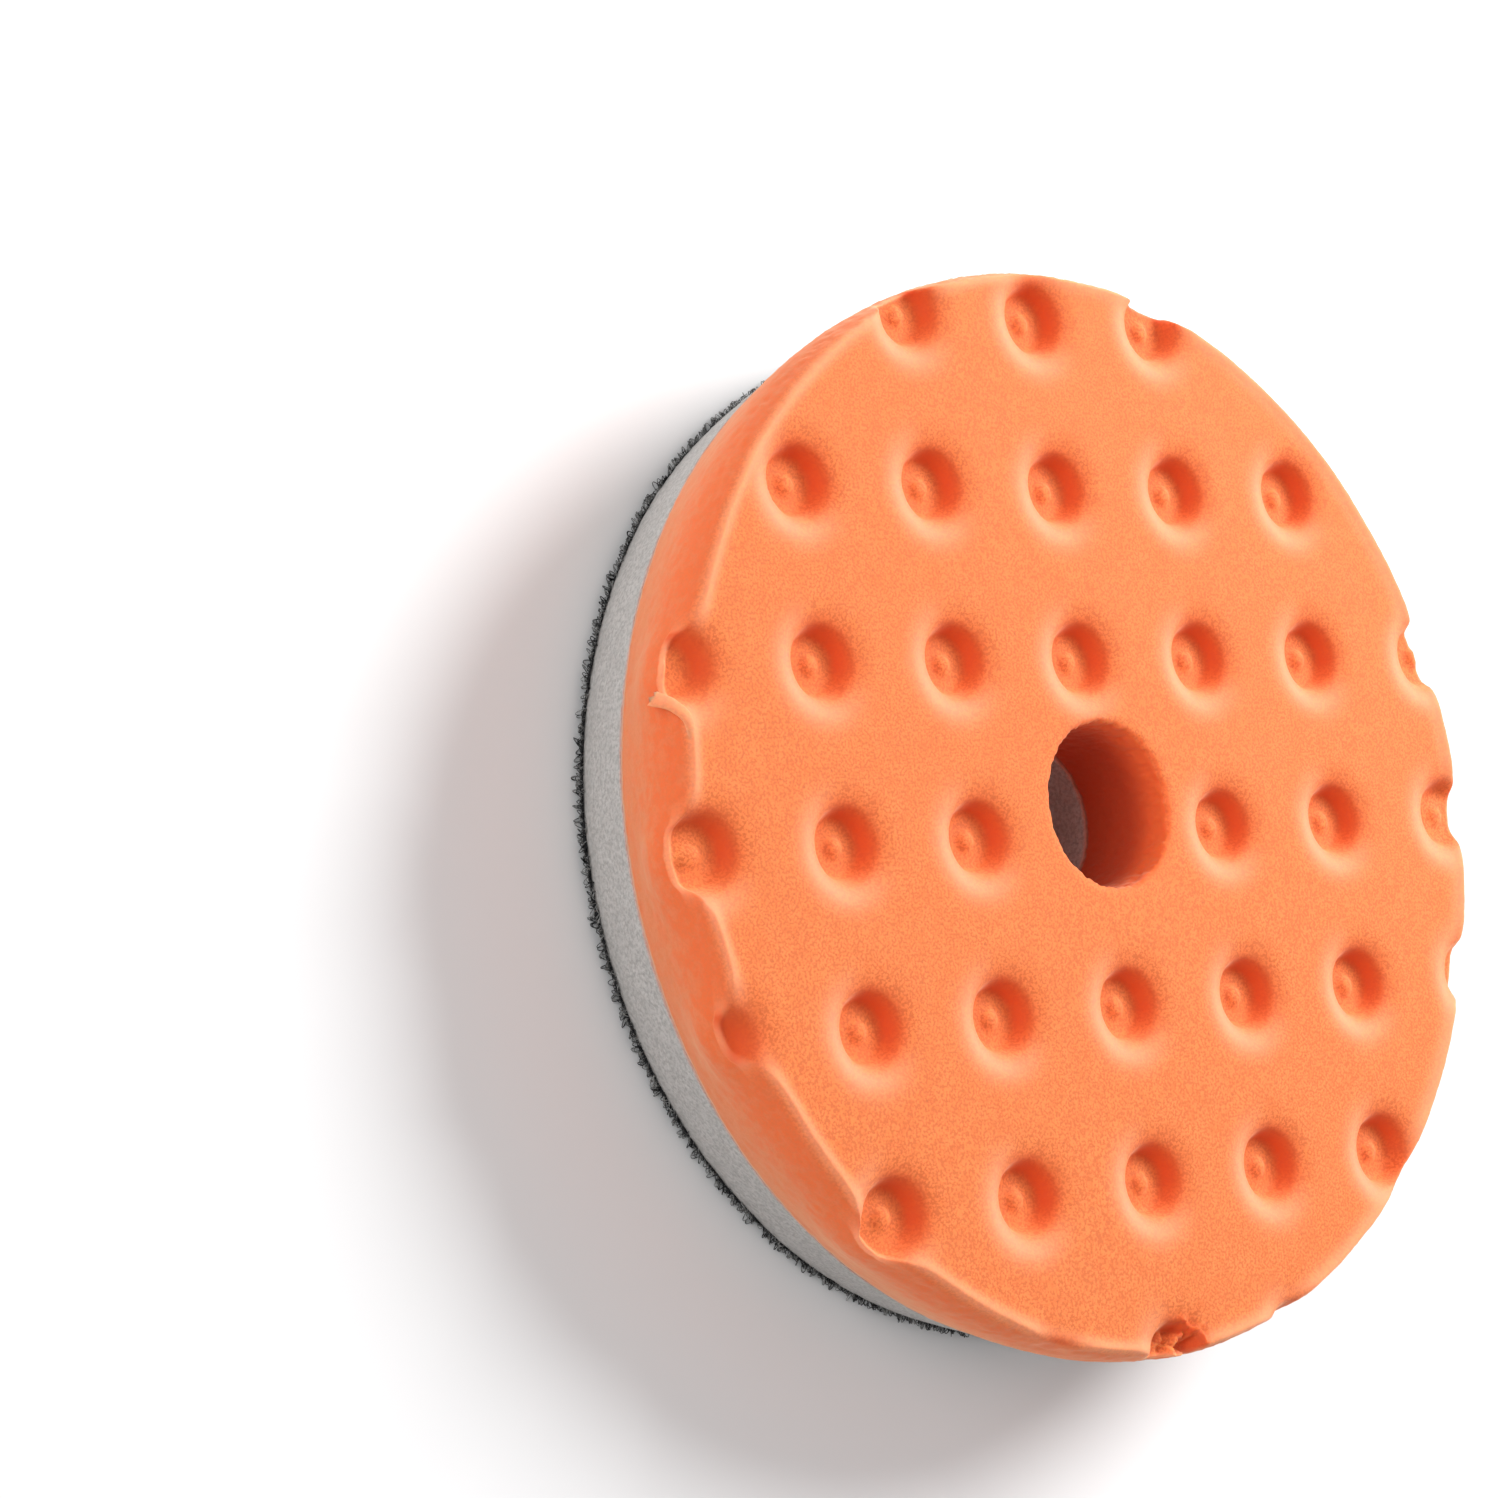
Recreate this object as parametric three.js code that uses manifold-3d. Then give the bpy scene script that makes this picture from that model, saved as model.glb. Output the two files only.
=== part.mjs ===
// A round foam polishing pad for a dual-action or rotary car polisher.
//
// The pad is a bonded stack of discs that share one centre hole. From the bottom up: a hook-and-loop
// fabric that grips the machine's backing plate, a film of adhesive, a grey interface foam, a second
// film, and the orange polishing foam, whose working face is moulded with a square grid of dimples.
//
// Millimetres, +Z up. The origin is the centre of the loop fabric's lower face, so the pad lies on
// z = 0 with its working face up and its axis along +Z.

import * as THREE from 'three';
import { mergeVertices } from 'three/addons/utils/BufferGeometryUtils.js';
import Module from 'manifold-3d';

// Driving dimensions.
const FACE_DIAMETER = 165;
const BACK_DIAMETER = 152.4;
const TOTAL_THICKNESS = 32;
const HOLE_DIAMETER = 25;

// Stack, from the bottom up.
const LOOP_THICKNESS = 1.6;
const FILM_THICKNESS = 0.3;
const INTERFACE_THICKNESS = 12.1;

// Outer wall: a straight taper that widens towards the face, then a rounded shoulder.
const SHOULDER_WIDTH = 1.5;
const SHOULDER_HEIGHT = 5.5;
const SHOULDER_STEPS = 5;

// Dimples: a square grid, off centre because the disc is cut from a larger dimpled sheet.
const DIMPLE_PITCH = 26.25;
const GRID_OFFSET_X = -1.3;
const GRID_OFFSET_Y = -4;
const GRID_REACH = 4;
const DIMPLE_DEPTH = 3.6;
const DIMPLE_RIM_RADIUS = 6.8;
const DIMPLE_LIP_CLEARANCE = 2;
const DIMPLE_SEGMENTS = 16;
// Each ring of the cup as a fraction of the rim radius and of the depth, from the floor to the rim.
const DIMPLE_RINGS = [[0.5, 1], [0.68, 0.85], [0.86, 0.2], [1, 0]];

const DISC_SEGMENTS = 72;

const faceRadius = FACE_DIAMETER / 2;
const backRadius = BACK_DIAMETER / 2;
const holeRadius = HOLE_DIAMETER / 2;
const shoulderBase = TOTAL_THICKNESS - SHOULDER_HEIGHT;
const taper = (faceRadius - backRadius) / shoulderBase;

// Heights of the faces between the layers.
const loopTop = LOOP_THICKNESS;
const interfaceBottom = loopTop + FILM_THICKNESS;
const interfaceTop = interfaceBottom + INTERFACE_THICKNESS;
const polishingBottom = interfaceTop + FILM_THICKNESS;

const wasm = await Module();
wasm.setup();

const materials = {
  loop: new THREE.MeshStandardMaterial({ color: 0x0a0a0c, roughness: 0.95, metalness: 0 }),
  film: new THREE.MeshStandardMaterial({ color: 0xd8d2c0, roughness: 0.5, metalness: 0 }),
  interfaceFoam: new THREE.MeshStandardMaterial({ color: 0xa5a5a0, roughness: 0.9, metalness: 0 }),
  polishingFoam: new THREE.MeshStandardMaterial({ color: 0xff9050, roughness: 0.85, metalness: 0 }),
};

// Radius of the tapered outer wall at a height.
function wallRadius(z) {
  return backRadius + taper * z;
}

// A profile of [radius, height] points, closed on itself and turned about the pad's axis.
function revolve(points, segments) {
  const outline = points.map(([radius, height]) => new THREE.Vector2(radius, height));
  const geometry = new THREE.LatheGeometry(outline, segments);
  geometry.rotateX(Math.PI / 2);
  return geometry;
}

// A flat ring between two heights, with the centre hole inside and the tapered wall outside.
function discGeometry(bottom, top) {
  return revolve([
    [holeRadius, bottom],
    [wallRadius(bottom), bottom],
    [wallRadius(top), top],
    [holeRadius, top],
    [holeRadius, bottom],
  ], DISC_SEGMENTS);
}

// The polishing foam before its dimples: the taper, then a quarter ellipse up to the working face.
function polishingBlankGeometry() {
  const profile = [[holeRadius, polishingBottom], [wallRadius(polishingBottom), polishingBottom]];
  for (let step = 0; step <= SHOULDER_STEPS; step += 1) {
    const angle = (step / SHOULDER_STEPS) * (Math.PI / 2);
    const radius = faceRadius - SHOULDER_WIDTH * (1 - Math.cos(angle));
    profile.push([radius, shoulderBase + SHOULDER_HEIGHT * Math.sin(angle)]);
  }
  profile.push([holeRadius, TOTAL_THICKNESS], [holeRadius, polishingBottom]);
  return revolve(profile, DISC_SEGMENTS);
}

// The cup that one dimple removes, with its floor down and its open end above the working face.
function dimpleToolGeometry() {
  const profile = [[0, TOTAL_THICKNESS - DIMPLE_DEPTH]];
  for (const [radiusFraction, depthFraction] of DIMPLE_RINGS) {
    const height = TOTAL_THICKNESS - DIMPLE_DEPTH * depthFraction;
    profile.push([DIMPLE_RIM_RADIUS * radiusFraction, height]);
  }
  profile.push([DIMPLE_RIM_RADIUS, TOTAL_THICKNESS + DIMPLE_LIP_CLEARANCE]);
  profile.push([0, TOTAL_THICKNESS + DIMPLE_LIP_CLEARANCE]);
  return revolve(profile, DIMPLE_SEGMENTS);
}

// Centres of the grid points whose dimple touches the working face and misses the centre hole.
function dimpleCentres() {
  const centres = [];
  for (let column = -GRID_REACH; column <= GRID_REACH; column += 1) {
    for (let row = -GRID_REACH; row <= GRID_REACH; row += 1) {
      const x = GRID_OFFSET_X + column * DIMPLE_PITCH;
      const y = GRID_OFFSET_Y + row * DIMPLE_PITCH;
      const fromAxis = Math.hypot(x, y);
      const inHole = fromAxis < holeRadius;
      const onPad = fromAxis < faceRadius + DIMPLE_RIM_RADIUS;
      if (onPad && !inHole) centres.push([x, y]);
    }
  }
  return centres;
}

// A closed three.js geometry as a manifold solid, with its shared vertices merged.
function toSolid(geometry) {
  const merged = geometry.clone();
  merged.deleteAttribute('normal');
  merged.deleteAttribute('uv');
  const welded = mergeVertices(merged, 1e-4);
  return new wasm.Manifold(new wasm.Mesh({
    numProp: 3,
    vertProperties: new Float32Array(welded.attributes.position.array),
    triVerts: new Uint32Array(welded.index.array),
  }));
}

// A manifold solid as a three.js geometry.
function toGeometry(solid) {
  const mesh = solid.getMesh();
  const geometry = new THREE.BufferGeometry();
  geometry.setAttribute('position', new THREE.BufferAttribute(mesh.vertProperties, 3));
  geometry.setIndex(new THREE.BufferAttribute(mesh.triVerts, 1));
  geometry.computeVertexNormals();
  return geometry;
}

function polishingFoamGeometry() {
  const cup = toSolid(dimpleToolGeometry());
  let foam = toSolid(polishingBlankGeometry());
  for (const [x, y] of dimpleCentres()) {
    foam = foam.subtract(cup.translate([x, y, 0]));
  }
  return toGeometry(foam);
}

function addPiece(group, name, geometry, material) {
  const piece = new THREE.Mesh(geometry, material);
  piece.name = name;
  group.add(piece);
}

const group = new THREE.Group();
addPiece(group, 'loop_backing', discGeometry(0, loopTop), materials.loop);
addPiece(group, 'backing_adhesive', discGeometry(loopTop, interfaceBottom), materials.film);
addPiece(group, 'interface_foam', discGeometry(interfaceBottom, interfaceTop), materials.interfaceFoam);
addPiece(group, 'foam_adhesive', discGeometry(interfaceTop, polishingBottom), materials.film);
addPiece(group, 'polishing_foam', polishingFoamGeometry(), materials.polishingFoam);

export default group;
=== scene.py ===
"""The looks of a foam polishing pad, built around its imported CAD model.

The pad lies on its loop face with the dimpled working face up. Lengths in this script are in
millimetres until a mesh, a light or the camera is made, where MM turns them into metres.
"""

import math

import bpy
import numpy as np
from mathutils import Euler, Matrix, Vector, noise
from mathutils.geometry import delaunay_2d_cdt


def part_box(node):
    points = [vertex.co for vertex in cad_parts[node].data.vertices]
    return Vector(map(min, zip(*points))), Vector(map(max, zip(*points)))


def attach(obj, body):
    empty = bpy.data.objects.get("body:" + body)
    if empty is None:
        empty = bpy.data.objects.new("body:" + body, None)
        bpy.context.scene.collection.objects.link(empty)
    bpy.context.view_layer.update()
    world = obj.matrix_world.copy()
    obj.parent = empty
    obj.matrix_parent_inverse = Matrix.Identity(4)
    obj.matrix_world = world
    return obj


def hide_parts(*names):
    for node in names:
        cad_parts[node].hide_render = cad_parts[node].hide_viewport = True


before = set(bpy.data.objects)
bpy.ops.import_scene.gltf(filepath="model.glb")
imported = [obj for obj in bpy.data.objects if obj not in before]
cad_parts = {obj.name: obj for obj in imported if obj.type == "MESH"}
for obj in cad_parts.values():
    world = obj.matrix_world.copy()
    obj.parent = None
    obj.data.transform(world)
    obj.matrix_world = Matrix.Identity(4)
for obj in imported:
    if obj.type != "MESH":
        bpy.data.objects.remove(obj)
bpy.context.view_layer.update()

MM = 0.001
BODY = "root"


def node_heights(node):
    """The bottom and top of a CAD node, in millimetres."""
    low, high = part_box(node)
    return low.z / MM, high.z / MM


def node_radii(node):
    """The smallest and largest distance of a CAD node's points from the pad's axis."""
    radii = [math.hypot(v.co.x, v.co.y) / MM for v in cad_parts[node].data.vertices]
    return min(radii), max(radii)


LOOP_TOP = node_heights("loop_backing")[1]
INTERFACE_BOTTOM, INTERFACE_TOP = node_heights("interface_foam")
POLISHING_BOTTOM, FACE = node_heights("polishing_foam")
HOLE_RADIUS, FACE_RADIUS = node_radii("polishing_foam")
INTERFACE_RADIUS = node_radii("interface_foam")[1]

# Outer wall: the CAD model's taper and rounded shoulder. The orange foam's own taper bends upright.
SHOULDER_HEIGHT = 5.5
SHOULDER_WIDTH = 1.5
WALL_TOP = FACE - SHOULDER_HEIGHT
WALL_CURVE = 3.5
TAPER = (FACE_RADIUS - INTERFACE_RADIUS) / (WALL_TOP - INTERFACE_TOP)

# The raised crest along the shoulder, and the thin rim left standing round a cut dimple.
CREST_BEAD = 0.38
CREST_WIDTH = 1.1
CUT_RIM_BEAD = 0.5
CUT_RIM_INWARD = 0.5
CUT_RIM_WIDTH = 0.4

# How far the thin foam round the cut dimples on the -X side sags, and how wide round the rim.
SAG_OUT = 1.7
SAG_DOWN = 0.9
SAG_SPREAD = 6.5
SAG_INWARD = 2.4

# Dimples: the CAD model's square grid, with the moulded cup drawn in full.
DIMPLE_PITCH = 26.25
GRID_OFFSET = (-1.3, -4.0)
GRID_REACH = 4
DIMPLE_REACH = 10.0
CUP_DEPTH = 2.9
CUP_RADIUS = 5.0
CUP_SOFTNESS = 0.72
SAUCER_DEPTH = 1.0
SAUCER_RADIUS = 7.1
SAUCER_SOFTNESS = 1.6
NUB_HEIGHT = 0.8
NUB_RADIUS = 1.45

# The last column of dimples, at the +X rim, is pressed a little further out and less deep.
LAST_COLUMN = 3
LAST_COLUMN_SHIFT = 1.0
LAST_COLUMN_DEPTH = 0.75

# The dimple at the -Y rim, which the knife tore instead of cutting.
TORN_DIMPLE = (GRID_OFFSET[0], GRID_OFFSET[1] - 3 * DIMPLE_PITCH)
CRUMB_HEIGHT = 2.4
CRUMB_SIZE = 1.9

# Painted shade and painted highlight round each dimple: painted shade up the cup's wall on the side turned
# away from the light, and a painted highlight on the lit slope opposite.
# The last number is the direction of the painted shade from each centre, in degrees from +X.
CUP_WALL_FOOT = 4.7
CUP_WALL_SPREAD = 1.3
PALE_RING = 7.4
PALE_SPREAD = 1.7
OUTWARD_FADE = 1.35
SHADED_SIDE = 36.0

# Mesh densities: points round a ring, and distances between points in millimetres.
RIM_STEPS = 900
BORE_STEPS = 360
BAND_WIDTH = 8.0
BAND_START = FACE_RADIUS - BAND_WIDTH
BAND_SPACING = 0.45
SHOULDER_STEPS = 18
FILL_SPACING = 1.5
DIMPLE_SPACING = 0.6


# ------------------------------------------------------------------ small maths helpers
def soft_step(x):
    """A smooth step from 0 to 1 around x = 0."""
    return 0.5 + 0.5 * np.tanh(x)


def noise_at(points, size, seed):
    """Smooth noise between about -1 and 1 at each point, with features of the given size."""
    shift = Vector((seed * 17.3, seed * -9.1, seed * 5.7))
    return np.array([noise.noise(Vector(p) / size + shift) for p in points])


def circle(radius, steps, centre=(0.0, 0.0), turn=0.0):
    """Points evenly round a circle."""
    angles = (np.arange(steps) + turn) * (2 * math.pi / steps)
    return np.c_[centre[0] + radius * np.cos(angles), centre[1] + radius * np.sin(angles)]


def wall_radius(z):
    """Radius of the outer wall's taper at a height."""
    return np.minimum(INTERFACE_RADIUS + TAPER * (z - INTERFACE_TOP), FACE_RADIUS)


def wall_bend(drop):
    """A curve that starts level at no drop and straightens out further down."""
    return np.sqrt(drop ** 2 + WALL_CURVE ** 2) - WALL_CURVE


def orange_wall_radius(z):
    """Radius of the orange foam's wall: the same taper, bent smoothly upright under the shoulder."""
    share = wall_bend(np.clip(WALL_TOP - z, 0, None)) / wall_bend(WALL_TOP - POLISHING_BOTTOM)
    return FACE_RADIUS - (FACE_RADIUS - wall_radius(POLISHING_BOTTOM)) * share


# ------------------------------------------------------------------ the working face
def dimple_centres():
    """Grid points whose dimple touches the face and misses the centre hole."""
    centres = []
    for column in range(-GRID_REACH, GRID_REACH + 1):
        for row in range(-GRID_REACH, GRID_REACH + 1):
            x = GRID_OFFSET[0] + column * DIMPLE_PITCH
            y = GRID_OFFSET[1] + row * DIMPLE_PITCH
            if column == LAST_COLUMN:
                x += LAST_COLUMN_SHIFT
            if HOLE_RADIUS < math.hypot(x, y) < FACE_RADIUS + DIMPLE_REACH:
                centres.append((x, y))
    return centres


def dimple_depth(distance):
    """Depth of a dimple at a distance from its centre: saucer, steep cup and floor nub."""
    cup = CUP_DEPTH * soft_step((CUP_RADIUS - distance) / CUP_SOFTNESS)
    saucer = SAUCER_DEPTH * soft_step((SAUCER_RADIUS - distance) / SAUCER_SOFTNESS)
    nub = NUB_HEIGHT * np.exp(-(distance / NUB_RADIUS) ** 4)
    return cup + saucer - nub


def dimples_at(points):
    """How deep the dimples reach at each plan point."""
    depth = np.zeros(len(points))
    for x, y in dimple_centres():
        distance = np.hypot(points[:, 0] - x, points[:, 1] - y)
        share = LAST_COLUMN_DEPTH if x > LAST_COLUMN * DIMPLE_PITCH - DIMPLE_REACH else 1
        depth += share * np.where(distance < 1.3 * DIMPLE_REACH, dimple_depth(distance), 0)
    return depth


def shoulder_drop(inward):
    """How far the shoulder rounds down at a distance in from the outer wall."""
    share = np.clip(1 - inward / SHOULDER_WIDTH, 0, 1)
    return SHOULDER_HEIGHT * (1 - np.sqrt(1 - share ** 2))


def rim_beads(inward, depth, wander, standing):
    """Height of the crest along the shoulder, and of the rim that is standing round a cut dimple."""
    cut = np.clip(depth / CUP_DEPTH, 0, 1)
    crest = CREST_BEAD * (1 - cut) * np.exp(-((inward - SHOULDER_WIDTH - wander) / CREST_WIDTH) ** 2)
    rim = CUT_RIM_BEAD * standing * cut * np.exp(-((inward - CUT_RIM_INWARD) / CUT_RIM_WIDTH) ** 2)
    return crest + rim


def sag_rims(places):
    """Lets the thin foam round the cut dimples on the -X side sag outwards and down."""
    around = np.arctan2(places[:, 1], places[:, 0])
    radius = np.hypot(places[:, 0], places[:, 1])
    sag = np.zeros(len(places))
    for x, y in dimple_centres():
        reach = math.hypot(x, y)
        if FACE_RADIUS - CUP_RADIUS < reach < FACE_RADIUS + CUP_RADIUS:
            turn = around - math.atan2(y, x)
            arc = FACE_RADIUS * ((turn + math.pi) % (2 * math.pi) - math.pi)
            sag += np.clip((-x / reach - 0.5) / 0.3, 0, 1) * np.exp(-(arc / SAG_SPREAD) ** 2)
    sag *= np.exp(-(np.clip(FACE_RADIUS - radius, 0, None) / SAG_INWARD) ** 2)
    rise = np.clip((places[:, 2] - POLISHING_BOTTOM) / (WALL_TOP - POLISHING_BOTTOM), 0, 1)
    sag *= rise ** 2 * (3 - 2 * rise)
    out = (radius + SAG_OUT * sag) / radius
    return np.c_[places[:, 0] * out, places[:, 1] * out, places[:, 2] - SAG_DOWN * sag]


def bore_rounding(radius):
    """How far the rim of the centre hole is rounded down."""
    return 0.8 * np.exp(-(radius - HOLE_RADIUS) / 0.45)


def torn_lumps(points):
    """Height of the crumbs left standing in the torn dimple."""
    x, y = TORN_DIMPLE
    distance = np.hypot(points[:, 0] - x - 2.2, points[:, 1] - y - 1.5)
    flat = np.c_[points, np.zeros(len(points))]
    ridges = 1 - np.abs(noise_at(flat, CRUMB_SIZE, 31)) * 2.6
    return CRUMB_HEIGHT * np.clip(ridges, 0, 1) * np.exp(-(distance / 3.9) ** 4)


def face_height(points):
    """Height of the working face and its shoulder at plan points."""
    radius = np.hypot(points[:, 0], points[:, 1])
    inward = FACE_RADIUS - radius
    depth = dimples_at(points)
    flat = np.c_[points, np.zeros(len(points))]
    swell = 0.16 * noise_at(flat, 24.0, 1) + 0.05 * noise_at(flat, 5.0, 2)
    swell = swell + 0.02 * noise_at(flat, 1.8, 3)
    drop = (depth ** 4 + shoulder_drop(inward) ** 4) ** 0.25
    standing = np.clip(0.5 - points[:, 0] / 60, 0, 1)
    beads = rim_beads(inward, depth, 0.4 * noise_at(flat, 9.0, 4), standing)
    return FACE - drop + swell + beads + torn_lumps(points) - bore_rounding(radius)


def face_points():
    """Plan points of the working face, rim rings first, and how many rim rings there are."""
    shoulder = SHOULDER_WIDTH * (1 - np.cos(np.linspace(0, math.pi / 2, SHOULDER_STEPS)))
    inwards = np.r_[shoulder, np.arange(SHOULDER_WIDTH + 0.3, BAND_WIDTH, BAND_SPACING)]
    rings = [circle(FACE_RADIUS - inward, RIM_STEPS) for inward in inwards]
    bore_offsets = 0.075 * np.arange(9) ** 1.7
    for offset in bore_offsets:
        rings.append(circle(HOLE_RADIUS + offset, BORE_STEPS))
    hole_edge = HOLE_RADIUS + bore_offsets[-1]

    centres = dimple_centres()
    distances = np.concatenate([np.arange(0.6, 3.2, 0.5), np.arange(3.4, 7.4, 0.28), [7.9, 8.6, 9.4]])
    for centre in centres:
        dots = [np.array([centre])]
        for number, distance in enumerate(distances):
            steps = max(8, int(2 * math.pi * distance / DIMPLE_SPACING))
            dots.append(circle(distance, steps, centre, turn=0.5 * (number % 2)))
        dots = np.vstack(dots)
        inside = np.hypot(dots[:, 0], dots[:, 1]) < BAND_START
        rings.append(dots[inside])

    grid = np.arange(-FACE_RADIUS, FACE_RADIUS, FILL_SPACING)
    x, y = np.meshgrid(grid, grid * math.sqrt(3) / 2)
    x = x + FILL_SPACING / 2 * (np.arange(len(grid)) % 2)[:, None]
    fill = np.c_[x.ravel(), y.ravel()]
    radius = np.hypot(fill[:, 0], fill[:, 1])
    keep = (radius < BAND_START - 0.4) & (radius > hole_edge + 0.6)
    for centre in centres:
        keep &= np.hypot(fill[:, 0] - centre[0], fill[:, 1] - centre[1]) > DIMPLE_REACH
    return np.vstack(rings + [fill[keep]]), len(inwards)


def ring_radius(ring, points):
    """Radius of a ring of plan points in the direction of each given point."""
    around = np.arctan2(ring[:, 1], ring[:, 0]) % (2 * math.pi)
    order = np.argsort(around)
    angles = around[order]
    radius = np.hypot(ring[:, 0], ring[:, 1])[order]
    angles = np.r_[angles[-1] - 2 * math.pi, angles, angles[0] + 2 * math.pi]
    radius = np.r_[radius[-1], radius, radius[0]]
    return np.interp(np.arctan2(points[:, 1], points[:, 0]) % (2 * math.pi), angles, radius)


def triangulate(points, outer, inner):
    """Triangles of plan points between an outer and an inner ring, both given by their indices."""
    flat = [Vector(p) for p in points]
    borders = []
    for ring in (outer, inner):
        borders += zip(ring, ring[1:] + ring[:1])
    made = delaunay_2d_cdt(flat, borders, [], 0, 1e-7)
    origin = [ids[0] for ids in made[3]]
    faces = np.array([[origin[i] for i in face] for face in made[2]])
    middle = points[faces].mean(axis=1)
    radius = np.hypot(middle[:, 0], middle[:, 1])
    between = (radius < ring_radius(points[outer], middle)) & (radius > ring_radius(points[inner], middle))
    return faces[between]


# ------------------------------------------------------------------ mesh building
def make_piece(name, points_mm, faces, material):
    """A smooth-shaded mesh object, riding on the pad's body, from points in millimetres."""
    mesh = bpy.data.meshes.new(name)
    mesh.from_pydata((np.asarray(points_mm) * MM).tolist(), [], faces)
    mesh.validate()
    mesh.update()
    mesh.polygons.foreach_set("use_smooth", [True] * len(mesh.polygons))
    mesh.materials.append(material)
    piece = bpy.data.objects.new(name, mesh)
    bpy.context.scene.collection.objects.link(piece)
    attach(piece, BODY)
    return piece


class Shell:
    """Points and faces of a closed body, gathered ring by ring."""

    def __init__(self):
        self.points = []
        self.faces = []

    def add_points(self, points):
        start = len(self.points)
        self.points.extend(np.asarray(points).tolist())
        return list(range(start, len(self.points)))

    def join_rings(self, lower, upper):
        """Quads between two rings with the same number of points, facing outwards."""
        count = len(lower)
        for i in range(count):
            j = (i + 1) % count
            self.faces.append([lower[i], lower[j], upper[j], upper[i]])

    def add_plate(self, outer, inner, facing_up, between=()):
        """A plate between an outer and an inner ring of points already in the shell."""
        ids = list(outer) + list(inner) + list(between)
        plan = np.array([self.points[i][:2] for i in ids])
        outer_places = list(range(len(outer)))
        inner_places = list(range(len(outer), len(outer) + len(inner)))
        for a, b, c in triangulate(plan, outer_places, inner_places):
            face = [ids[a], ids[b], ids[c]]
            self.faces.append(face if facing_up else face[::-1])


def ragged(points, amount, seed):
    """Moves points in and out from the axis, as a knife leaves cut foam."""
    points = np.asarray(points, float)
    radial = points[:, :2] / np.hypot(points[:, 0], points[:, 1])[:, None]
    push = noise_at(points, 1.6, seed) + 0.9 * noise_at(points, 0.7, seed + 1)
    push = amount * (push + 1.2 * noise_at(points, 14.0, seed + 2))
    return np.c_[points[:, :2] + radial * push[:, None], points[:, 2]]


def add_wall(shell, bottom, top, rows, radius_at):
    """Rings of a wall from the ring of points at bottom to the ring at top, both kept exact."""
    angles = np.arctan2(bottom[:, 1], bottom[:, 0])
    rings = [shell.add_points(bottom)]
    for row in range(1, rows):
        z = bottom[:, 2] + (top[:, 2] - bottom[:, 2]) * row / rows
        reach = radius_at(z)
        rings.append(shell.add_points(np.c_[reach * np.cos(angles), reach * np.sin(angles), z]))
    rings.append(shell.add_points(top))
    for lower, upper in zip(rings, rings[1:]):
        shell.join_rings(lower, upper)
    return rings[0], rings[-1]


def ring_at(radius, z, steps):
    """A level ring of points."""
    return np.c_[circle(radius, steps), np.full(steps, z)]


def bore_radius(z):
    """The bore's radius, the same at every height."""
    return np.full(np.shape(z), HOLE_RADIUS)


def dimple_rings(points, ring_radius_mm, spread, base, lean):
    """A ring round each dimple's centre. It is base strong, plus lean on the side of SHADED_SIDE."""
    strength = np.zeros(len(points))
    for x, y in dimple_centres():
        distance = np.hypot(points[:, 0] - x, points[:, 1] - y)
        side = np.cos(np.arctan2(points[:, 1] - y, points[:, 0] - x) - math.radians(SHADED_SIDE))
        fade = np.where(distance > ring_radius_mm, OUTWARD_FADE * spread, spread)
        ring = np.exp(-((distance - ring_radius_mm) / fade) ** 2)
        strength += ring * np.clip(base + lean * side, 0, 1)
    return np.clip(strength, 0, 1)


def paint(piece, name, values):
    """Stores a value for each point of a piece, for its material to read."""
    layer = piece.data.attributes.new(name, "FLOAT", "POINT")
    layer.data.foreach_set("value", np.asarray(values, float))


def polishing_foam_shell():
    """The orange foam's cut wall, dimpled face, bore and flat underside, as one closed body."""
    shell = Shell()
    plan, band_rings = face_points()
    top = np.c_[plan, face_height(plan)]
    first_plate = SHOULDER_STEPS * RIM_STEPS
    first_bore = band_rings * RIM_STEPS

    foot = ring_at(wall_radius(POLISHING_BOTTOM), POLISHING_BOTTOM, RIM_STEPS)
    wall_bottom, edge = add_wall(shell, foot, top[:RIM_STEPS], 22, orange_wall_radius)
    for start in range(RIM_STEPS, first_plate, RIM_STEPS):
        inner_edge = shell.add_points(top[start:start + RIM_STEPS])
        shell.join_rings(edge, inner_edge)
        edge = inner_edge
    bore_top, bore_bottom = add_wall(
        shell, top[first_bore:first_bore + BORE_STEPS], ring_at(HOLE_RADIUS, POLISHING_BOTTOM, BORE_STEPS),
        30, bore_radius,
    )
    inside = np.r_[first_plate:first_bore, first_bore + BORE_STEPS:len(top)]
    inside_ids = shell.add_points(top[inside])
    shell.add_plate(edge, bore_top, True, inside_ids)
    shell.add_plate(wall_bottom, bore_bottom, False)
    return shell


def cut_roughness(radius, high):
    """How far the knife leaves the orange foam ragged: most at the rim and round the hole."""
    inward = FACE_RADIUS - radius
    near_rim = np.exp(-(np.clip(inward, 0, None) / 1.3) ** 2)
    near_bore = np.exp(-(radius - HOLE_RADIUS) / 0.6)
    on_wall = (1 - high) * (radius > BAND_START)
    return 0.09 * on_wall + 0.17 * high * near_rim + (0.13 + 0.15 * high) * near_bore


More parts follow.
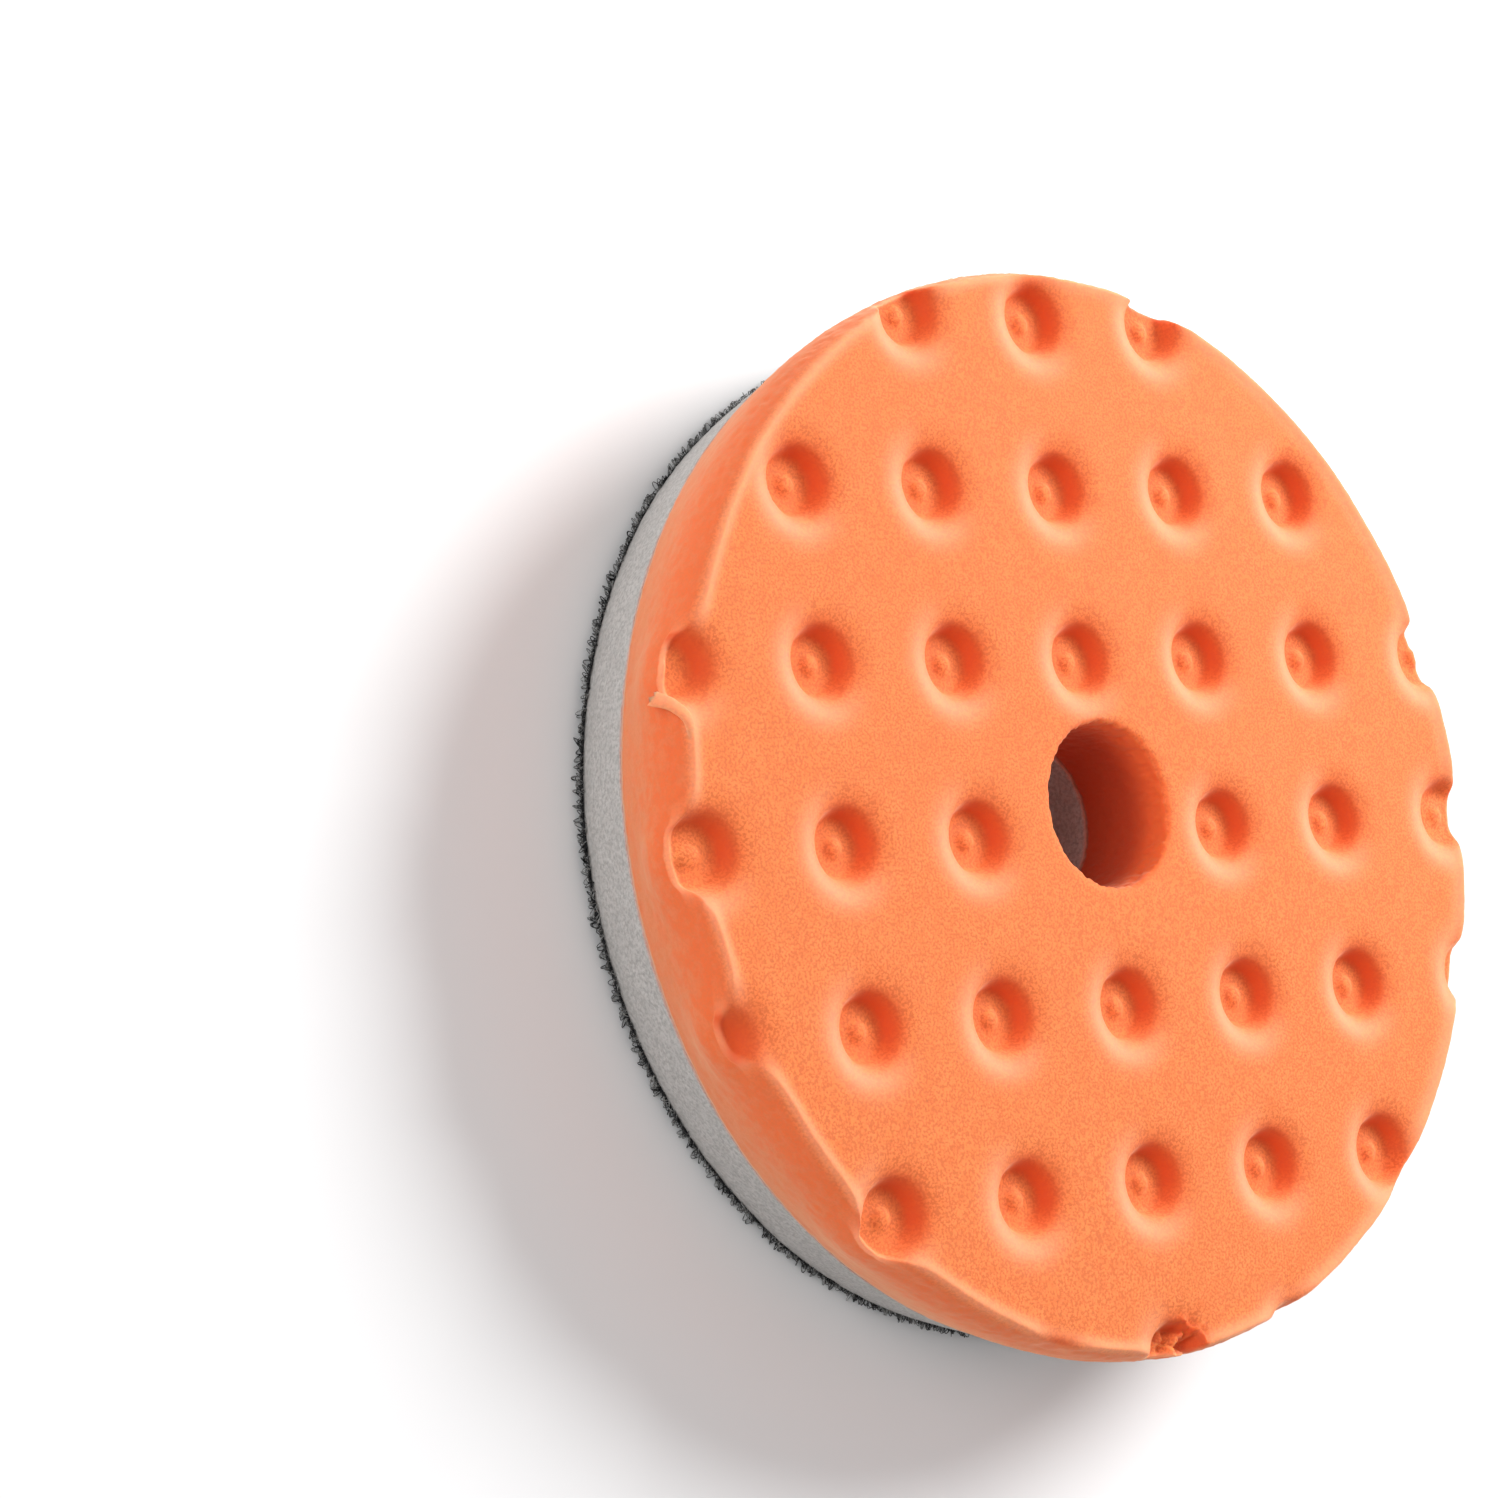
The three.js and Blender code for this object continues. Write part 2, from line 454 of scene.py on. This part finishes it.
def paint_foam(piece, places, radius, high):
    """Paints the orange foam's tones, painted shade and painted highlights among them, from where each
    point was before the rim sagged.
    """
    inward = FACE_RADIUS - radius
    depth = dimples_at(places)
    faces_up = np.clip(1.25 - shoulder_drop(inward) / 1.2, 0, 1)
    in_cut = np.clip(depth / CUP_DEPTH, 0, 1) * (inward > 0.15) * high
    on_top = np.maximum(faces_up * high, in_cut)
    paint(piece, "cut_side", 1 - on_top)

    facing_out = np.clip(places[:, 0] / radius, 0, 1)
    # Painted shade up the cup walls on the shaded side. It fades out where the +X rim cuts the far wall
    # away.
    cup_shade_mask = on_top * (1 - facing_out * np.clip(1.2 - inward / 4, 0, 1))
    paint(piece, "cup_shade", cup_shade_mask * dimple_rings(places, CUP_WALL_FOOT, CUP_WALL_SPREAD, 0.4, 0.8))
    # Painted highlight on the slopes opposite, which face the light.
    paint(piece, "lit_slope_highlight", on_top * dimple_rings(places, PALE_RING, PALE_SPREAD, 0.35, -0.65))

    # Painted highlight along the crest, wider on the +X side that faces the light, and round the thin rim
    # standing at each cut dimple.
    cut = np.clip(2 * depth / CUP_DEPTH, 0, 1)
    crest_highlight_width = 1.2 + 1.1 * facing_out
    crest = (1 - cut) * np.exp(-((inward - SHOULDER_WIDTH) / crest_highlight_width) ** 2)
    cut_rim_highlight = cut * np.exp(-((inward - CUT_RIM_INWARD + 0.2) / 0.45) ** 2)
    paint(piece, "crest", on_top * crest + high * 1.3 * cut_rim_highlight)

    in_bore = radius < HOLE_RADIUS + 0.5
    paint(piece, "bore", in_bore * (1 - 0.4 * high * (radius > HOLE_RADIUS + 0.02)))


def polishing_foam(material):
    """The orange foam, with its sagging cut rims, its ragged cuts and its painted tones."""
    shell = polishing_foam_shell()
    places = np.array(shell.points)
    radius = np.hypot(places[:, 0], places[:, 1])
    high = np.clip((places[:, 2] - WALL_TOP) / 2, 0, 1)
    skin = ragged(sag_rims(places), cut_roughness(radius, high), 5)
    piece = make_piece("polishing_foam_skin", skin, shell.faces, material)
    paint_foam(piece, places, radius, high)
    return piece


def disc_shell(bottom, top, inset, rows):
    """A flat disc with the centre hole, its edges set in by inset from the CAD model's."""
    shell = Shell()
    wall_bottom, wall_top = add_wall(
        shell, ring_at(wall_radius(bottom) - inset, bottom, RIM_STEPS),
        ring_at(wall_radius(top) - inset, top, RIM_STEPS), rows, wall_radius,
    )
    bore_top, bore_bottom = add_wall(
        shell, ring_at(HOLE_RADIUS + inset, top, BORE_STEPS),
        ring_at(HOLE_RADIUS + inset, bottom, BORE_STEPS), rows, bore_radius,
    )
    shell.add_plate(wall_top, bore_top, True)
    shell.add_plate(wall_bottom, bore_bottom, False)
    return shell


def interface_foam(material):
    """The grey foam: cut outer wall, bore and two flat faces."""
    shell = disc_shell(INTERFACE_BOTTOM, INTERFACE_TOP, 0, 22)
    skin = ragged(shell.points, 0.1, 7)
    return make_piece("interface_foam_block", skin, shell.faces, material)


CLOTH_BOTTOM = 0.4
CLOTH_INSET = 0.2


def loop_cloth(material):
    """The knitted base cloth of the loop fabric, with sharp edges so that its flat faces shade flat."""
    shell = disc_shell(CLOTH_BOTTOM, LOOP_TOP, CLOTH_INSET, 4)
    skin = ragged(shell.points, 0.12, 11)
    cloth = make_piece("loop_cloth", skin, shell.faces, material)
    cloth.data.set_sharp_from_angle(angle=math.radians(30))
    return cloth


# ------------------------------------------------------------------ loops of the loop fabric
LOOP_SECTION = 3
FIBRE_RADIUS = 0.085
RIM_LOOPS = 2300
HOLE_LOOPS = 260
PILE_SPACING = 1.6
PILE_INSET = 0.6


def loop_path(base, lean, across, height, width, steps):
    """One fibre loop: out from its root, over, and back down beside it."""
    path = []
    for step in range(steps):
        angle = math.pi * step / (steps - 1)
        spot = base + lean * (height * math.sin(angle)) - across * (width * math.cos(angle))
        path.append(Vector((spot.x, spot.y, max(spot.z, 1.3 * FIBRE_RADIUS))))
    return path


def join_tube(faces, start, rings, corners):
    """Quads between the rings of a tube, and a face over each end."""
    for ring in range(rings - 1):
        for corner in range(corners):
            a = start + ring * corners + corner
            b = start + ring * corners + (corner + 1) % corners
            faces.append([a, b, b + corners, a + corners])
    faces.append([start + corner for corner in range(corners)][::-1])
    last = start + (rings - 1) * corners
    faces.append([last + corner for corner in range(corners)])


def add_tube(points, faces, path, radius):
    """A thin tube along a path, with closed ends."""
    start = len(points)
    for number, spot in enumerate(path):
        ahead = path[min(number + 1, len(path) - 1)] - path[max(number - 1, 0)]
        side = ahead.cross(Vector((0.13, 0.37, 0.92))).normalized()
        up = ahead.cross(side).normalized()
        for corner in range(LOOP_SECTION):
            angle = 2 * math.pi * corner / LOOP_SECTION
            points.append(spot + radius * (math.cos(angle) * side + math.sin(angle) * up))
    join_tube(faces, start, len(path), LOOP_SECTION)


def add_fringe_loops(points, faces, rng, count, edge, outwards, longest):
    """Loops that stand out from a cut edge of the loop fabric."""
    for number in range(count):
        angle = 2 * math.pi * (number + rng.uniform(-0.4, 0.4)) / count
        radial = Vector((math.cos(angle), math.sin(angle), 0))
        tangent = Vector((-math.sin(angle), math.cos(angle), 0))
        z = rng.uniform(0.25, LOOP_TOP + 0.3)
        base = radial * (float(edge(z)) - 0.3 * outwards) + Vector((0, 0, z))
        lean = radial * outwards + tangent * rng.uniform(-0.8, 0.8)
        lean = lean + Vector((0, 0, rng.uniform(-0.5, 0.7)))
        across = tangent * rng.uniform(0.4, 1) + Vector((0, 0, rng.uniform(-0.6, 0.6)))
        height = longest * rng.uniform(0.35, 1)
        width = rng.uniform(0.22, 0.55)
        path = loop_path(base, lean.normalized(), across.normalized(), height, width, 8)
        add_tube(points, faces, path, FIBRE_RADIUS * rng.uniform(0.7, 1.1))


def loop_fringe(material):
    """Ragged loops round the rim and the hole of the loop fabric."""
    rng = np.random.default_rng(21)
    points, faces = [], []
    add_fringe_loops(points, faces, rng, RIM_LOOPS, wall_radius, 1, 1.7)
    add_fringe_loops(points, faces, rng, HOLE_LOOPS, bore_radius, -1, 0.8)
    return make_piece("loop_fringe", points, faces, material)


def loop_pile(material):
    """The pile under the cloth, which grips the backing plate's hooks."""
    rng = np.random.default_rng(34)
    points, faces = [], []
    outer = wall_radius(0) - PILE_INSET
    reach = int(outer / PILE_SPACING) + 1
    for column in range(-reach, reach + 1):
        for row in range(-reach, reach + 1):
            x, y = (np.array([column, row]) + rng.uniform(-0.45, 0.45, 2)) * PILE_SPACING
            if not HOLE_RADIUS + PILE_INSET < math.hypot(x, y) < outer:
                continue
            turn = rng.uniform(0, math.pi)
            across = Vector((math.cos(turn), math.sin(turn), 0))
            lean = Vector((rng.uniform(-0.6, 0.6), rng.uniform(-0.6, 0.6), -1)).normalized()
            path = loop_path(Vector((x, y, 0.55)), lean, across, 0.5, rng.uniform(0.3, 0.6), 5)
            add_tube(points, faces, path, FIBRE_RADIUS)
    return make_piece("loop_pile", points, faces, material)


# ------------------------------------------------------------------ torn flap at the rim
FLAP_ROUTE = (
    (-80.3, 8.0, 31.0), (-80.2, 11.0, 31.5), (-80.2, 13.4, 31.7), (-80.8, 15.2, 31.4),
    (-81.8, 16.5, 30.6), (-82.7, 17.4, 29.4), (-83.4, 18.0, 28.2),
)
FLAP_WIDTH = 2.6
FLAP_THICKNESS = 1.3
FLAP_CORNERS = 14
FLAP_STEPS = 8


def smooth_route(spots, steps):
    """Points along a Catmull-Rom curve through the given spots."""
    spots = [Vector(spot) for spot in spots]
    ends = [2 * spots[0] - spots[1]] + spots + [2 * spots[-1] - spots[-2]]
    route = []
    for number in range(1, len(ends) - 2):
        p0, p1, p2, p3 = ends[number - 1:number + 3]
        for step in range(steps):
            t = step / steps
            route.append(0.5 * (2 * p1 + (p2 - p0) * t + (2 * p0 - 5 * p1 + 4 * p2 - p3) * t ** 2
                                + (3 * p1 - p0 - 3 * p2 + p3) * t ** 3))
    return route + [spots[-1]]


def torn_flap(material):
    """A tongue of foam that the knife left hanging from the lower rim of a cut dimple."""
    route = smooth_route(FLAP_ROUTE, FLAP_STEPS)
    points, faces = [], []
    for number, spot in enumerate(route):
        along = number / (len(route) - 1)
        ahead = (route[min(number + 1, len(route) - 1)] - route[max(number - 1, 0)]).normalized()
        side = ahead.cross(Vector((0, 0, 1))).normalized()
        up = side.cross(ahead).normalized()
        for corner in range(FLAP_CORNERS):
            angle = 2 * math.pi * corner / FLAP_CORNERS
            torn = 0.4 * noise.noise(Vector((math.cos(angle) * 2, along * 6, 3)))
            wide = FLAP_WIDTH / 2 * (0.4 + 0.6 * along) + torn * along
            thick = FLAP_THICKNESS / 2 * (1 - 0.5 * along)
            ragged_end = 1.6 * along ** 5 * noise.noise(Vector((math.cos(angle) * 3.1, 5, 1)))
            points.append(spot + side * (wide * math.cos(angle)) + up * (thick * math.sin(angle))
                          + ahead * ragged_end)
    join_tube(faces, 0, len(route), FLAP_CORNERS)
    return make_piece("torn_flap", points, faces, material)


# ------------------------------------------------------------------ materials
class Nodes:
    """A material's node tree, with short calls to add and link nodes."""

    def __init__(self, name):
        self.material = bpy.data.materials.new(name)
        self.material.use_nodes = True
        self.tree = self.material.node_tree
        self.shader = self.tree.nodes["Principled BSDF"]

    def add(self, kind, **values):
        node = self.tree.nodes.new(kind)
        for key, value in values.items():
            if hasattr(node, key):
                setattr(node, key, value)
            else:
                node.inputs[key.replace("_", " ")].default_value = value
        return node

    def link(self, source, target):
        self.tree.links.new(source, target)

    def position(self):
        return self.add("ShaderNodeTexCoord").outputs["Object"]

    def noise(self, size_mm, detail=2.0, roughness=0.5):
        """Noise with features of about the given size."""
        node = self.add("ShaderNodeTexNoise", Scale=1 / (size_mm * MM), Detail=detail)
        node.inputs["Roughness"].default_value = roughness
        self.link(self.position(), node.inputs["Vector"])
        return node.outputs["Fac"]

    def cells(self, size_mm):
        """Distance to the nearest foam cell centre."""
        node = self.add("ShaderNodeTexVoronoi", Scale=1 / (size_mm * MM))
        self.link(self.position(), node.inputs["Vector"])
        return node.outputs["Distance"]

    def ramp(self, value, low, high, to_low=0.0, to_high=1.0):
        """Maps a value from one range to another, smoothly and clamped."""
        node = self.add("ShaderNodeMapRange", interpolation_type="SMOOTHSTEP")
        ends = {"From Min": low, "From Max": high, "To Min": to_low, "To Max": to_high}
        for socket, number in ends.items():
            node.inputs[socket].default_value = number
        self.link(value, node.inputs["Value"])
        return node.outputs["Result"]

    def mix(self, factor, first, second):
        """A colour mix; each colour is a tuple or a socket."""
        node = self.add("ShaderNodeMix", data_type="RGBA")
        self.link(factor, node.inputs["Factor"])
        for socket, colour in ((node.inputs[6], first), (node.inputs[7], second)):
            if isinstance(colour, tuple):
                socket.default_value = (*colour, 1)
            else:
                self.link(colour, socket)
        return node.outputs[2]

    def math(self, operation, first, second):
        node = self.add("ShaderNodeMath", operation=operation)
        for socket, value in zip(node.inputs, (first, second)):
            if isinstance(value, (int, float)):
                socket.default_value = value
            else:
                self.link(value, socket)
        return node.outputs[0]

    def attribute(self, name, strength):
        """A value painted on the mesh's points, scaled."""
        node = self.add("ShaderNodeAttribute", attribute_name=name)
        return self.math("MULTIPLY", node.outputs["Fac"], strength)

    def height_mm(self):
        """Height above the loop face, in millimetres."""
        split = self.add("ShaderNodeSeparateXYZ")
        self.link(self.position(), split.inputs[0])
        return self.math("MULTIPLY", split.outputs["Z"], 1 / MM)

    def bump(self, height, distance_mm, strength):
        node = self.add("ShaderNodeBump", Strength=strength, Distance=distance_mm * MM)
        self.link(height, node.inputs["Height"])
        return node.outputs["Normal"]

    def finish(self, colour, roughness, normal):
        self.link(colour, self.shader.inputs["Base Color"])
        self.link(roughness, self.shader.inputs["Roughness"])
        self.link(normal, self.shader.inputs["Normal"])
        return self.material


# Linear colours of the two foams, each named for where it shows. The cup and bore colours are painted
# shade, the pale and crest colours painted highlights.
ORANGE_FACE = (0.92, 0.25, 0.07)
ORANGE_SPECK = (0.70, 0.15, 0.036)
ORANGE_PORE = (0.55, 0.10, 0.03)
ORANGE_CREST_HIGHLIGHT = (1.0, 0.40, 0.205)
ORANGE_SLOPE_HIGHLIGHT = (1.0, 0.44, 0.26)
ORANGE_CUP_SHADE = (0.78, 0.085, 0.012)
ORANGE_WALL_LOW = (0.78, 0.22, 0.088)
ORANGE_WALL_HIGH = (0.82, 0.155, 0.042)
ORANGE_BORE_SHADE = (0.52, 0.055, 0.012)
ORANGE_BORE_MOUTH = (1.0, 0.17, 0.04)
GREY_FOAM = (0.55, 0.53, 0.51)
GREY_CELL = (0.38, 0.365, 0.35)
GREY_NEAR_LOOPS = (0.33, 0.315, 0.30)


def seam_blend(nodes):
    """0 in the grey foam and 1 in the orange, across the soft line where they are bonded."""
    seam = (INTERFACE_TOP + POLISHING_BOTTOM) / 2
    wander = nodes.math("MULTIPLY", nodes.noise(0.9, 3), 0.6)
    height = nodes.math("ADD", nodes.height_mm(), wander)
    return nodes.ramp(height, seam - 0.6, seam + 1.2)


def orange_foam_material():
    """Soft moulded foam: fine cells on the face, painted shade in the cups and down the bore, painted
    highlights on the lit slopes and the crest, and deeper colour on the cut walls.
    """
    nodes = Nodes("orange_foam")
    grain = nodes.noise(0.42, 2, 0.5)
    blotch = nodes.noise(4.0, 2)
    patch = nodes.noise(1.8, 3, 0.6)
    face = nodes.mix(nodes.ramp(grain, 0.38, 0.60), ORANGE_SPECK, ORANGE_FACE)
    face = nodes.mix(nodes.ramp(patch, 0.5, 0.35, 0.0, 0.3), face, ORANGE_SPECK)
    face = nodes.mix(nodes.ramp(blotch, 0.3, 0.75, 0.0, 0.25), face, ORANGE_SPECK)
    pit = nodes.ramp(nodes.cells(1.4), 0.06, 0.2, 1.0, 0.0)
    rare = nodes.ramp(nodes.noise(1.9, 0), 0.52, 0.62, 0.0, 0.55)
    face = nodes.mix(nodes.math("MULTIPLY", pit, rare), face, ORANGE_PORE)
    # Painted highlight on the lit slopes round each dimple.
    face = nodes.mix(nodes.attribute("lit_slope_highlight", 0.58), face, ORANGE_SLOPE_HIGHLIGHT)
    # Painted highlight along the crest.
    face = nodes.mix(nodes.attribute("crest", 0.6), face, ORANGE_CREST_HIGHLIGHT)
    # Painted shade up the cup walls turned away from the light.
    face = nodes.mix(nodes.attribute("cup_shade", 0.9), face, ORANGE_CUP_SHADE)
    rise = nodes.ramp(nodes.height_mm(), POLISHING_BOTTOM + 2, FACE - 3)
    rise = nodes.math("ADD", rise, nodes.ramp(patch, 0.35, 0.65, -0.35, 0.35))
    wall = nodes.mix(rise, ORANGE_WALL_LOW, ORANGE_WALL_HIGH)
    wall = nodes.mix(nodes.ramp(grain, 0.58, 0.36, 0.0, 0.4), wall, ORANGE_SPECK)
    colour = nodes.mix(nodes.attribute("cut_side", 1.0), face, wall)
    # Painted shade: the bore's colour darkens from its mouth down into the hole.
    bore_shade_fade = nodes.ramp(nodes.height_mm(), FACE - 9, FACE - 0.5)
    bore = nodes.mix(bore_shade_fade, ORANGE_BORE_SHADE, ORANGE_BORE_MOUTH)
    colour = nodes.mix(nodes.attribute("bore", 0.9), colour, bore)
    colour = nodes.mix(seam_blend(nodes), GREY_FOAM, colour)
    roughness = nodes.ramp(grain, 0.3, 0.7, 0.72, 0.92)
    pores = nodes.math("ADD", nodes.math("MULTIPLY", nodes.cells(0.6), 0.6), grain)
    normal = nodes.bump(pores, 0.12, 0.07)
    nodes.shader.inputs["Subsurface Weight"].default_value = 0.6
    nodes.shader.inputs["Subsurface Radius"].default_value = (1.0, 0.3, 0.12)
    nodes.shader.inputs["Subsurface Scale"].default_value = 1.2 * MM
    nodes.shader.inputs["Sheen Weight"].default_value = 0.4
    nodes.shader.inputs["Sheen Roughness"].default_value = 0.4
    nodes.shader.inputs["Sheen Tint"].default_value = (1.0, 0.72, 0.5, 1)
    nodes.shader.inputs["Specular IOR Level"].default_value = 0.35
    return nodes.finish(colour, roughness, normal)


def grey_foam_material():
    """Cut open-cell foam: speckled, darker near the loop fabric."""
    nodes = Nodes("grey_foam")
    grain = nodes.noise(0.6, 4, 0.65)
    blotch = nodes.noise(2.6, 2)
    base = nodes.mix(nodes.ramp(grain, 0.35, 0.62), GREY_CELL, GREY_FOAM)
    base = nodes.mix(nodes.ramp(blotch, 0.35, 0.75, 0.0, 0.3), base, GREY_CELL)
    near_loops = nodes.ramp(nodes.height_mm(), INTERFACE_BOTTOM, INTERFACE_BOTTOM + 4, 0.4, 0.0)
    base = nodes.mix(near_loops, base, GREY_NEAR_LOOPS)
    colour = nodes.mix(seam_blend(nodes), base, ORANGE_WALL_LOW)
    roughness = nodes.ramp(grain, 0.3, 0.7, 0.8, 0.95)
    pores = nodes.math("ADD", nodes.math("MULTIPLY", nodes.cells(0.65), 0.7), grain)
    normal = nodes.bump(pores, 0.25, 0.7)
    nodes.shader.inputs["Subsurface Weight"].default_value = 0.2
    nodes.shader.inputs["Subsurface Radius"].default_value = (0.6, 0.6, 0.6)
    nodes.shader.inputs["Subsurface Scale"].default_value = 1.0 * MM
    nodes.shader.inputs["Specular IOR Level"].default_value = 0.3
    return nodes.finish(colour, roughness, normal)


def loop_fabric_material():
    """Black brushed nylon with a knit rib and a few paler fibres."""
    nodes = Nodes("loop_fabric")
    fibre = nodes.noise(0.35, 5, 0.75)
    patch = nodes.noise(4.0, 2)
    lint = nodes.ramp(nodes.noise(0.7, 3), 0.72, 0.8)
    colour = nodes.mix(nodes.ramp(fibre, 0.3, 0.8), (0.003, 0.003, 0.004), (0.016, 0.016, 0.018))
    colour = nodes.mix(nodes.math("MULTIPLY", lint, 0.5), colour, (0.16, 0.16, 0.16))
    roughness = nodes.ramp(patch, 0.3, 0.7, 0.85, 0.98)
    normal = nodes.bump(fibre, 0.25, 0.8)
    nodes.shader.inputs["Sheen Weight"].default_value = 0.06
    nodes.shader.inputs["Sheen Roughness"].default_value = 0.5
    nodes.shader.inputs["Specular IOR Level"].default_value = 0.2
    return nodes.finish(colour, roughness, normal)


def fringe_fibre_material():
    """Black nylon filament, slightly glossy, with painted grey glints along its loops."""
    nodes = Nodes("fringe_fibre")
    fibre = nodes.noise(1.3, 3, 0.6)
    # Painted highlight: pale grey patches along the fibres stand in for glints.
    colour = nodes.mix(nodes.ramp(fibre, 0.42, 0.62), (0.008, 0.008, 0.009), (0.30, 0.30, 0.29))
    roughness = nodes.ramp(fibre, 0.3, 0.7, 0.35, 0.55)
    return nodes.finish(colour, roughness, nodes.bump(fibre, 0.05, 0.4))


def backing_film_material():
    """A thin film of dark cured adhesive soaked into the grey foam's cells."""
    nodes = Nodes("backing_film")
    grain = nodes.noise(0.6, 4, 0.7)
    colour = nodes.mix(nodes.ramp(grain, 0.35, 0.65), (0.05, 0.048, 0.045), (0.20, 0.19, 0.18))
    roughness = nodes.ramp(grain, 0.3, 0.7, 0.6, 0.85)
    return nodes.finish(colour, roughness, nodes.bump(grain, 0.1, 0.5))


def foam_film_material():
    """The bonded line between the foams, where both colours have soaked into the adhesive."""
    nodes = Nodes("foam_film")
    grain = nodes.noise(0.6, 4, 0.7)
    colour = nodes.mix(seam_blend(nodes), GREY_FOAM, ORANGE_WALL_LOW)
    colour = nodes.mix(nodes.ramp(grain, 0.35, 0.65, 0.25, 0.0), colour, ORANGE_SPECK)
    roughness = nodes.ramp(grain, 0.3, 0.7, 0.7, 0.9)
    return nodes.finish(colour, roughness, nodes.bump(grain, 0.1, 0.5))


def floor_material():
    nodes = Nodes("studio_floor")
    grain = nodes.noise(60, 2)
    colour = nodes.mix(grain, (0.86, 0.86, 0.87), (0.89, 0.89, 0.89))
    roughness = nodes.ramp(grain, 0.3, 0.7, 0.7, 0.8)
    nodes.shader.inputs["Specular IOR Level"].default_value = 0.2
    return nodes.finish(colour, roughness, nodes.bump(grain, 0.02, 0.2))


# ------------------------------------------------------------------ camera, lights and floor
# Angles in degrees, the lens in millimetres. The aim is off the pad, which stands to the right.
CAMERA_ELEVATION = 48.13
CAMERA_HEADING = 9.68
CAMERA_ROLL = 75.37
CAMERA_DISTANCE = 547.9
CAMERA_AIM = (-70.2, 10.0, 32.0)
CAMERA_LENS = 94.9


def camera_turn():
    """The camera's rotation: it looks along the heading and down, then rolls about its view."""
    pitch = math.radians(90 - CAMERA_ELEVATION)
    heading = math.radians(CAMERA_HEADING - 90)
    level = Euler((pitch, 0, heading), "XYZ").to_matrix()
    return level @ Matrix.Rotation(math.radians(CAMERA_ROLL), 3, "Z")


def add_camera():
    data = bpy.data.cameras.new("camera")
    data.lens = CAMERA_LENS
    data.clip_start = 0.01
    camera = bpy.data.objects.new("camera", data)
    turn = camera_turn()
    place = Vector(CAMERA_AIM) + turn @ Vector((0, 0, CAMERA_DISTANCE))
    camera.matrix_world = Matrix.Translation(place * MM) @ turn.to_4x4()
    bpy.context.scene.collection.objects.link(camera)
    bpy.context.scene.camera = camera


def add_area_light(name, azimuth, elevation, distance_mm, size_mm, watts):
    """A soft light aimed at the pad. Azimuth is in the pad's plane, from +X towards +Y."""
    data = bpy.data.lights.new(name, "AREA")
    data.shape = "DISK"
    data.size = size_mm * MM
    data.energy = watts
    light = bpy.data.objects.new(name, data)
    a, e = math.radians(azimuth), math.radians(elevation)
    toward = Vector((math.cos(a) * math.cos(e), math.sin(a) * math.cos(e), math.sin(e)))
    light.location = toward * distance_mm * MM + Vector((0, 0, FACE * MM))
    light.rotation_mode = "QUATERNION"
    light.rotation_quaternion = toward.to_track_quat("Z", "Y")
    bpy.context.scene.collection.objects.link(light)


def add_world(strength):
    world = bpy.data.worlds.new("studio")
    world.use_nodes = True
    background = world.node_tree.nodes["Background"]
    background.inputs["Color"].default_value = (1, 1, 1, 1)
    background.inputs["Strength"].default_value = strength
    bpy.context.scene.world = world


def add_floor():
    """A plain square floor under the pad, eight metres across."""
    mesh = bpy.data.meshes.new("floor")
    half = 4.0
    corners = [(-half, -half, 0), (half, -half, 0), (half, half, 0), (-half, half, 0)]
    mesh.from_pydata(corners, [], [[0, 1, 2, 3]])
    mesh.materials.append(floor_material())
    floor = bpy.data.objects.new("floor", mesh)
    bpy.context.scene.collection.objects.link(floor)


# ------------------------------------------------------------------ build
add_camera()
add_world(0.45)
add_area_light("key", azimuth=32, elevation=39, distance_mm=900, size_mm=480, watts=10.8)
add_area_light("fill", azimuth=165, elevation=24, distance_mm=1100, size_mm=700, watts=5)
add_floor()
bpy.context.scene.view_settings.view_transform = "Standard"

orange_material = orange_foam_material()
orange = polishing_foam(orange_material)
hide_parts("polishing_foam")

grey = interface_foam(grey_foam_material())
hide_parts("interface_foam")

loop_material = loop_fabric_material()
flap = torn_flap(orange_material)
# Painted highlight over the whole flap, in the crest's pale colour.
paint(flap, "crest", [1.0] * len(flap.data.vertices))

cloth = loop_cloth(loop_material)
fringe = loop_fringe(fringe_fibre_material())
pile = loop_pile(loop_material)
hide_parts("loop_backing")

films = {"backing_adhesive": backing_film_material(), "foam_adhesive": foam_film_material()}
for node, film in films.items():
    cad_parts[node].data.materials.clear()
    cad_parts[node].data.materials.append(film)

bpy.context.view_layer.update()
